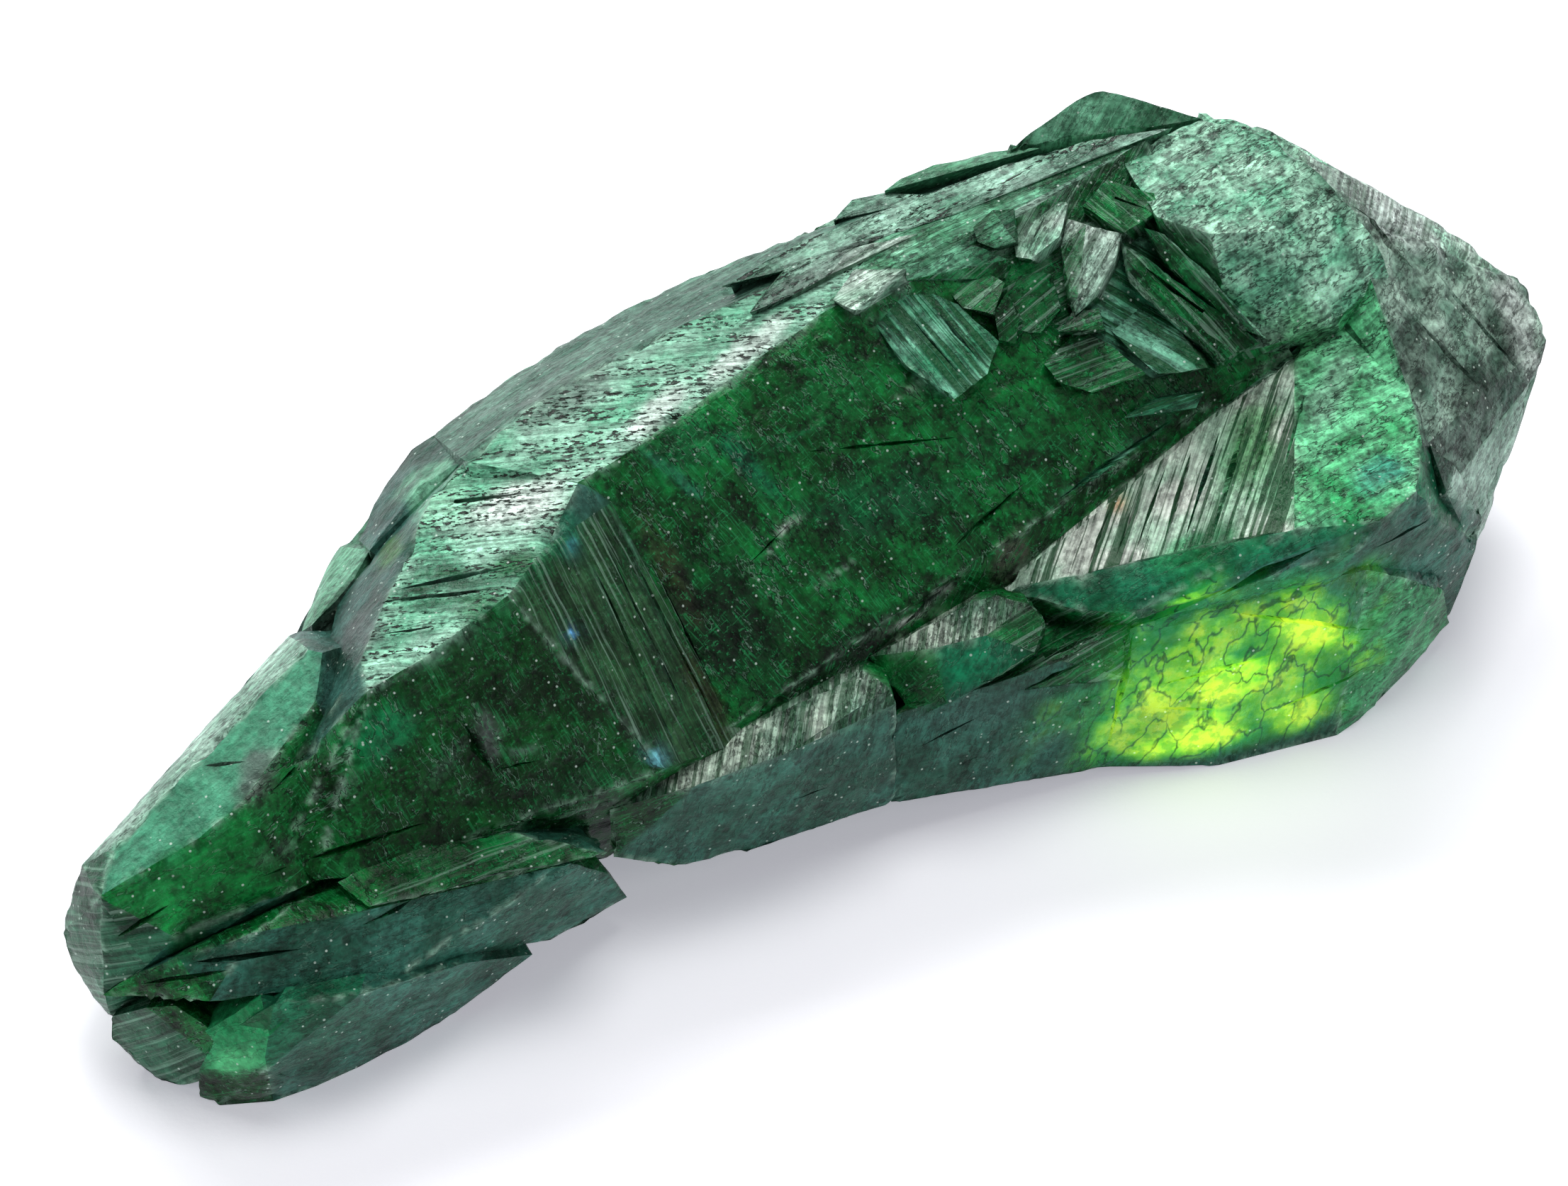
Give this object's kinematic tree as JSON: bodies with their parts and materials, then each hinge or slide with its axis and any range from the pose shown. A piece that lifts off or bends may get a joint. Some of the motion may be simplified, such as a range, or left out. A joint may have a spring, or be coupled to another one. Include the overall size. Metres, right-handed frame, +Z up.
{
  "type": "raw emerald crystal",
  "caption": "Long rough emerald crystal lying on its side, with stepped growth faces, a broken narrow end and a thin light-passing foot; loose mineral specimen.",
  "frame": {"origin": "on the table plane, under the centre of the box around the crystal", "axes": "+X along the crystal's length, from the narrow broken end to the wide end; +Z up from the table; +Y to the back, away from the side with the long dark growth face"},
  "size_m": [0.075, 0.0304, 0.0218],
  "materials": {
    "emerald": "rough natural crystal, deep green and murky, silvery where light catches the growth faces"
  },
  "bodies": {
    "root": {"emerald_crystal": "emerald"}
  },
  "joints": []
}
